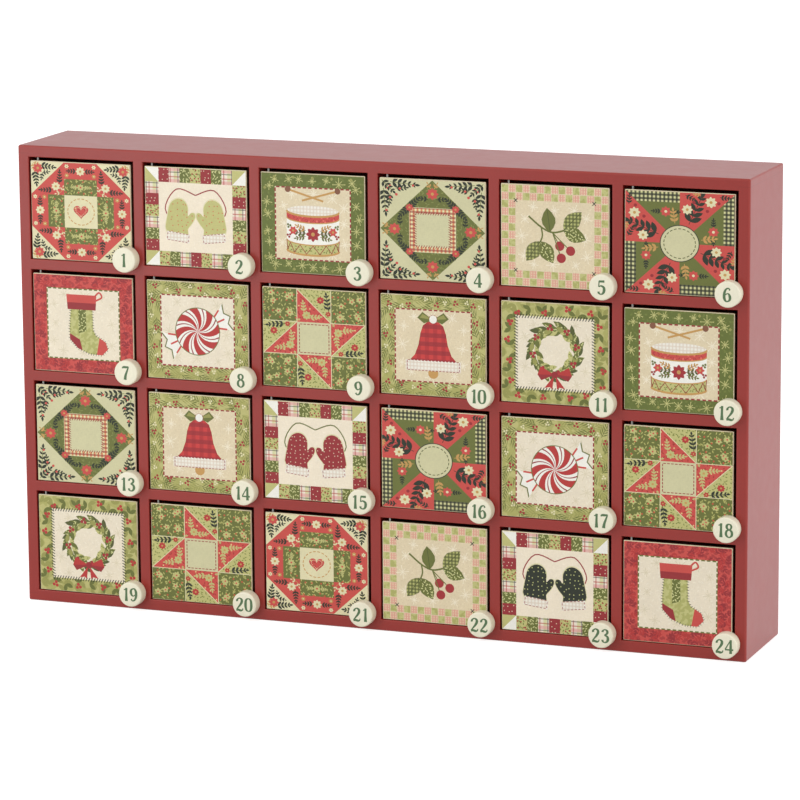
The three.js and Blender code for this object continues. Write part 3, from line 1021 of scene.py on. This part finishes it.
def ease_edges(made, width, **settings):
    ease = made.modifiers.new("eased edges", "BEVEL")
    ease.width = width * MM
    ease.segments = 3
    ease.harden_normals = True
    for name, value in settings.items():
        setattr(ease, name, value)


def board(name, low, high, edge, material):
    """Flat board with eased edges."""
    bm = bmesh.new()
    bmesh.ops.create_cube(bm, size=1)
    for vertex in bm.verts:
        vertex.co = [(low[k] if vertex.co[k] < 0 else high[k]) * MM for k in range(3)]
    made = add_object(name, mesh_from(bm, name), [material])
    ease_edges(made, edge)
    return made


def cell_mesh(name, lines, filled):
    """Closed mesh around the filled cells of a grid of blocks, given by its lines on x, y and z."""
    bm = bmesh.new()
    corners = {}

    def corner(index):
        if index not in corners:
            corners[index] = bm.verts.new([line[k] * MM for line, k in zip(lines, index)])
        return corners[index]

    def solid(cell):
        inside = all(0 <= k < len(line) - 1 for line, k in zip(lines, cell))
        return inside and filled(*((line[k] + line[k + 1]) / 2 for line, k in zip(lines, cell)))

    for cell in filter(solid, product(*(range(len(line) - 1) for line in lines))):
        for axis, step in product(range(3), (0, 1)):
            beside = list(cell)
            beside[axis] += 2 * step - 1
            if solid(beside):
                continue
            ring = []
            for a, b in ((0, 0), (1, 0), (1, 1), (0, 1)):
                at = list(cell)
                at[axis] += step
                at[(axis + 1) % 3] += a
                at[(axis + 2) % 3] += b
                ring.append(corner(tuple(at)))
            bm.faces.new(ring)
    return mesh_from(bm, name)


# Camera at the photograph's viewing angle: turned about the upright, tipped down and rolled. In metres.
YAW, PITCH, ROLL = math.radians(20.84), math.radians(11.37), math.radians(-0.41)
LENS, SENSOR = 190.26, 36.0
CAMERA_PLACE = (0.754, -1.9708, 0.5387)

camera = bpy.data.objects.new("camera", bpy.data.cameras.new("camera"))
camera.data.lens = LENS
camera.data.sensor_width = SENSOR
tipped = Matrix.Rotation(YAW, 4, "Z") @ Matrix.Rotation(math.pi / 2 - PITCH, 4, "X")
camera.matrix_world = Matrix.Translation(CAMERA_PLACE) @ tipped @ Matrix.Rotation(ROLL, 4, "Z")
bpy.context.scene.collection.objects.link(camera)
bpy.context.scene.camera = camera

# Materials.
red_paint = case_paint("case_paint", (145, 42, 35))
# Lighter red for the rounded edges of the case: a painted highlight along them.
edge_highlight_paint = case_paint("case_edge_highlight_paint", (152, 50, 42))
board_finish = door_board()
knob_paint = brushed_paint("knob_paint", (234, 229, 205), 0.42, 0.02)
numeral_ink = brushed_paint("numeral_ink", (74, 104, 66), 0.5, 0.01)
gap_shaded_steel = pin_steel()

# Case and back panel.
divider_xs = [(c + 1) * OPENING_WIDTH + c * DIVIDER - HALF_INNER for c in range(COLUMNS - 1)]
divider_zs = [WALL + (r + 1) * OPENING_HEIGHT + r * DIVIDER for r in range(ROWS - 1)]
inner_xs = sorted([-HALF_INNER, HALF_INNER] + divider_xs + [x + DIVIDER for x in divider_xs])
inner_zs = sorted([WALL, INNER_TOP] + divider_zs + [z + DIVIDER for z in divider_zs])
NEAR, SHARP = 0.01, 0.5  # a distance in millimetres and an angle in radians


def in_case(x, y, z):
    if y > GRID_BACK:
        return abs(x) > LAP_X or not WALL - BACK_LAP < z < INNER_TOP + BACK_LAP
    wall = abs(x) > HALF_INNER or not WALL < z < INNER_TOP
    upright = any(0 < x - edge < DIVIDER for edge in divider_xs)
    shelf = any(0 < z - edge < DIVIDER for edge in divider_zs)
    return wall or upright or shelf


def edge_share(edge):
    """How much of the outer edges' rounding an edge of the case gets."""
    middle = (edge.verts[0].co + edge.verts[1].co) / 2 / MM
    in_front = middle.y < FRONT + NEAR
    outer = (in_front, middle.y > BACK - NEAR, abs(middle.x) > OUTER_X - NEAR,
             not NEAR < middle.z < HEIGHT - NEAR)
    if sum(outer) > 1:
        return 1
    return OPENING_EDGE / OUTER_EDGE if in_front and edge.calc_face_angle() > SHARP else 0


case_xs = [-OUTER_X, -LAP_X, *inner_xs, LAP_X, OUTER_X]
case_zs = [0, WALL - BACK_LAP, *inner_zs, INNER_TOP + BACK_LAP, HEIGHT]
mesh = cell_mesh("painted_case", (case_xs, [FRONT, GRID_BACK, BACK], case_zs), in_case)
bm = bmesh.new()
bm.from_mesh(mesh)
weights = mesh.attributes.new("bevel_weight_edge", "FLOAT", "EDGE")
weights.data.foreach_set("value", [edge_share(edge) for edge in bm.edges])
bm.free()
case = add_object("painted_case", mesh, [red_paint, edge_highlight_paint])
# The bevel faces take the second material, the lighter red of the painted edge highlight.
ease_edges(case, OUTER_EDGE, limit_method="WEIGHT", material=1)
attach(case, "case")
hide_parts("top_board", "bottom_board", "left_side", "right_side", "shelf_1", "shelf_3")
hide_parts("centre_cross", "upright_1", "upright_2", "upright_4", "upright_5")

gap_x, gap_z = LAP_X - GLUE_GAP, WALL - BACK_LAP + GLUE_GAP
back = board("painted_back", (-gap_x, BACK - BACK_THICKNESS, gap_z), (gap_x, BACK, HEIGHT - gap_z),
             PANEL_EDGE, red_paint)
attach(back, "case")
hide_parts("back_panel")

# Numerals: each digit's width and its lines, as points of (x, z, line width).
ROUND = [
    (2.1, 6.57, 0.45), (3.3, 5.8, 0.9), (3.62, 3.4, 1.15), (3.3, 1.0, 0.9),
    (2.1, 0.23, 0.45), (0.9, 1.0, 0.9), (0.58, 3.4, 1.15), (0.9, 5.8, 0.9),
]
SIX = [
    (3.35, 5.5, 0.75), (2.7, 6.4, 0.5), (1.5, 5.9, 0.75), (0.7, 4.1, 1.05),
    (0.68, 1.8, 1.1), (1.3, 0.5, 0.8), (2.15, 0.22, 0.5), (3.2, 0.95, 0.9),
    (3.42, 2.2, 1.1), (2.95, 3.5, 0.8), (2.1, 3.95, 0.45), (1.2, 3.3, 0.5),
]
DIGITS = {
    "0": (4.2, [ROUND]),
    "1": (2.2, [
        [(1.5, 6.75, 0.95), (1.42, 3.4, 0.95), (1.42, 0.05, 1.35)],
        [(1.5, 6.45, 0.6), (0.9, 5.95, 0.5), (0.2, 5.75, 0.4)],
    ]),
    "2": (4.1, [
        [(0.85, 4.9, 1.0), (0.8, 5.6, 0.8), (1.9, 6.52, 0.5), (3.1, 5.95, 0.95),
         (3.25, 4.8, 1.1), (2.5, 3.3, 0.9), (1.3, 1.8, 0.6), (0.5, 0.7, 0.55)],
        [(0.3, 0.45, 0.85), (1.4, 0.62, 0.95), (2.6, 0.36, 0.9), (3.5, 0.6, 0.55), (3.8, 1.5, 0.35)],
    ]),
    "3": (3.9, [
        [(0.75, 5.3, 1.0), (0.9, 5.95, 0.7), (1.9, 6.55, 0.5), (3.0, 5.9, 0.95), (2.95, 4.7, 0.9),
         (1.6, 3.78, 0.45)],
        [(1.6, 3.78, 0.45), (3.0, 3.2, 0.9), (3.4, 1.95, 1.15), (2.9, 0.75, 0.9), (1.8, 0.25, 0.5),
         (0.8, 0.75, 0.75), (0.7, 1.5, 1.0)],
    ]),
    "4": (4.3, [
        [(2.95, 6.75, 0.9), (2.95, 3.4, 1.0), (2.95, 0.05, 1.15)],
        [(2.85, 6.5, 0.5), (1.55, 4.3, 0.45), (0.3, 2.15, 0.5)],
        [(0.15, 1.95, 0.62), (2.2, 1.95, 0.6), (4.2, 1.95, 0.75)],
    ]),
    "5": (3.9, [
        [(0.85, 6.3, 0.85), (2.2, 6.3, 0.85), (3.55, 6.35, 0.95)],
        [(0.95, 6.4, 0.5), (0.85, 5.0, 0.45), (0.75, 3.7, 0.5)],
        [(0.8, 3.75, 0.45), (1.9, 4.2, 0.6), (3.15, 3.5, 1.0), (3.4, 2.15, 1.15),
         (2.9, 0.8, 0.9), (1.8, 0.25, 0.5), (0.8, 0.75, 0.75), (0.7, 1.45, 1.0)],
    ]),
    "6": (4.1, [SIX]),
    "7": (3.9, [
        [(0.35, 5.6, 0.45), (0.5, 6.1, 0.7), (1.2, 6.3, 0.95), (2.4, 6.3, 0.9), (3.6, 6.4, 0.75)],
        [(3.5, 6.4, 0.5), (2.7, 4.3, 0.8), (1.95, 2.2, 1.05), (1.6, 0.05, 1.3)],
    ]),
    "8": (4.0, [
        [(2.0, 6.55, 0.5), (3.0, 5.9, 0.8), (3.0, 4.7, 0.8), (2.0, 3.8, 0.6), (1.0, 4.7, 0.95),
         (1.0, 5.9, 0.95)],
        [(2.0, 3.8, 0.6), (3.25, 3.0, 0.95), (3.35, 1.25, 0.95), (2.0, 0.22, 0.5), (0.65, 1.25, 0.95),
         (0.75, 3.0, 0.9)],
    ]),
    "9": (4.1, [[(4.1 - x, DIGIT_HEIGHT - z, width) for x, z, width in SIX]]),
}
CLOSED_DIGITS = "08"  # the lines of these are closed, all others are open
DIGIT_SPACE = {"1": 3.7}
WIDE_DIGIT_SPACE = 4.7


def numeral(number):
    """Shapes of a one- or two-digit number around its centre."""
    spaces = [DIGIT_SPACE.get(c, WIDE_DIGIT_SPACE) for c in str(number)]
    left = -sum(spaces) / 2
    shapes = []
    for character, space in zip(str(number), spaces):
        width, lines = DIGITS[character]
        corner = complex(left + (space - width) / 2, -DIGIT_HEIGHT / 2)
        for line in lines:
            placed = [((corner + complex(x, z)) * DIGIT_SCALE, w * DIGIT_WEIGHT) for x, z, w in line]
            shapes += [("ink", outline) for outline in stroke(placed, character in CLOSED_DIGITS)]
        left += space
    return shapes


def panel_piece(label, low, high):
    panel = board(f"door_panel_{label}", (low.x, low.y + PAPER, low.z), high, DOOR_EASE, board_finish)
    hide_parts(f"door_{label}")
    return panel


def pins_piece(label, low, high):
    """The wire pins that stand out of the door's bottom and top edges."""
    bm = bmesh.new()
    centre = (low.x + PIN_FROM_EDGE, (low.y + high.y) / 2, 0)
    tip = PIN_RADIUS - PIN_TIP
    lower = (low.z - PIN_BELOW, low.z + PIN_IN_DOOR)
    upper = (high.z - PIN_IN_DOOR, high.z + PIN_ABOVE)
    for start, end in (lower, upper):
        profile = [(0, start), (tip, start), (PIN_RADIUS, start + PIN_TIP)]
        profile += [(PIN_RADIUS, end - PIN_TIP), (tip, end), (0, end)]
        lathe(bm, profile, PIN_SEGMENTS, centre, "z")
    return add_object(f"hinge_pins_{label}", mesh_from(bm, "hinge_pins", True), [gap_shaded_steel])


def knob_piece(label, low, high):
    """A turned disc with a crisp rounded rim."""
    radius = (high.x - low.x) / 2
    front = low.y + INK_PROUD
    profile = [(0, front)]
    for edge in quarter_round(KNOB_ROUND, 8):
        profile.append((radius - KNOB_ROUND + edge.imag, front + KNOB_ROUND - edge.real))
    for edge in quarter_round(KNOB_BACK_EASE, 4):
        profile.append((radius - KNOB_BACK_EASE + edge.real, high.y - KNOB_BACK_EASE + edge.imag))
    profile.append((0, high.y))
    bm = bmesh.new()
    lathe(bm, profile, KNOB_SEGMENTS, ((low.x + high.x) / 2, 0, (low.z + high.z) / 2), "y")
    knob = add_object(f"knob_disc_{label}", mesh_from(bm, "knob_disc", True), [knob_paint])
    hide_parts(f"knob_{label}")
    return knob


def numeral_piece(label, low, high):
    bm = bmesh.new()
    faces, _ = divided(bm, numeral(int(label)), False)
    thickened(bm, faces, INK_DEPTH, False)
    place = ((low.x + high.x) / 2, low.y, (low.z + high.z) / 2)
    return add_object(f"numeral_{label}", mesh_from(bm, "numeral"), [numeral_ink], place)


# Doors with their prints, pins, knobs and numerals.
designs = {}
for draw, numbers in PATTERNS.items():
    designs.update(dict.fromkeys(numbers, print_mesh(draw().fitted())))
for number, cloth in MITTENS.items():
    designs[number] = print_mesh(mittens(cloth).fitted())

for number in range(1, COLUMNS * ROWS + 1):
    label = f"{number:02d}"
    low, high = (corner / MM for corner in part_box(f"door_{label}"))
    low.z += PIN_BELOW
    high.z -= PIN_ABOVE
    middle = (low + high) / 2
    mesh, names = designs[number]
    sheet = add_object(f"door_print_{label}", mesh.copy(), [ink(name) for name in names],
                       (middle.x, low.y, middle.z))
    knob_low, knob_high = (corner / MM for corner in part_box(f"knob_{label}"))
    pieces = [panel_piece(label, low, high), sheet, pins_piece(label, low, high)]
    pieces += [knob_piece(label, knob_low, knob_high), numeral_piece(label, knob_low, knob_high)]
    for piece in pieces:
        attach(piece, f"door_{label}")


# Floor, lamps and world.
FLOOR_REACH, FLOOR_DROP = 12, 0.1 * MM
FLOOR_GREY, FLOOR_GLOW = 0.62, 0.72
WORLD_LIGHT = 0.86


def floor_material():
    made = bpy.data.materials.new("pale_floor")
    tree = Tree(made)
    grey = tree.node("BsdfDiffuse", {"Color": (FLOOR_GREY, FLOOR_GREY, FLOOR_GREY, 1)})
    glow = tree.node("Emission", {"Strength": tree.times(tree.seen_share(), FLOOR_GLOW)})
    both = tree.node("AddShader", {0: grey.outputs[0], 1: glow.outputs[0]})
    tree.node("OutputMaterial", {"Surface": both.outputs[0]})
    return made


def studio_world():
    """White behind everything, and a plainer light on the object."""
    made = bpy.data.worlds.new("studio")
    tree = Tree(made)
    lit, seen = (tree.node("Background", {"Color": (1, 1, 1, 1), "Strength": strength}).outputs[0]
                 for strength in (WORLD_LIGHT, 1.0))
    choose = tree.node("MixShader", {0: tree.seen_share(), 1: lit, 2: seen})
    tree.node("OutputWorld", {"Surface": choose.outputs[0]})
    return made


def area_light(name, place, aim, size, power):
    lamp = bpy.data.lights.new(name, "AREA")
    lamp.size = size
    lamp.energy = power
    made = bpy.data.objects.new(name, lamp)
    made.location = place
    made.rotation_mode = "QUATERNION"
    made.rotation_quaternion = (Vector(aim) - Vector(place)).to_track_quat("-Z", "Y")
    bpy.context.scene.collection.objects.link(made)


floor_corners = [(p.real, p.imag, -FLOOR_DROP) for p in rectangle(0, 2 * FLOOR_REACH, 2 * FLOOR_REACH)]
floor_mesh = bpy.data.meshes.new("floor")
floor_mesh.from_pydata(floor_corners, [], [(0, 1, 2, 3)])
add_object("floor", floor_mesh, [floor_material()])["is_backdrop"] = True
bpy.context.scene.world = studio_world()
area_light("key", (-1.0, -1.3, 1.2), (0, 0, 0.12), 0.7, 5.5)
area_light("low key", (-0.55, -0.85, 0.18), (-0.1, 0, 0.12), 0.4, 1.5)
area_light("fill", (1.7, -0.1, 0.45), (0.15, 0, 0.12), 1.0, 8)

bpy.context.scene.view_settings.view_transform = "Standard"

low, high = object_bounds()
{"cad": [list(cad_low), list(cad_high)], "visual": [list(low), list(high)]}
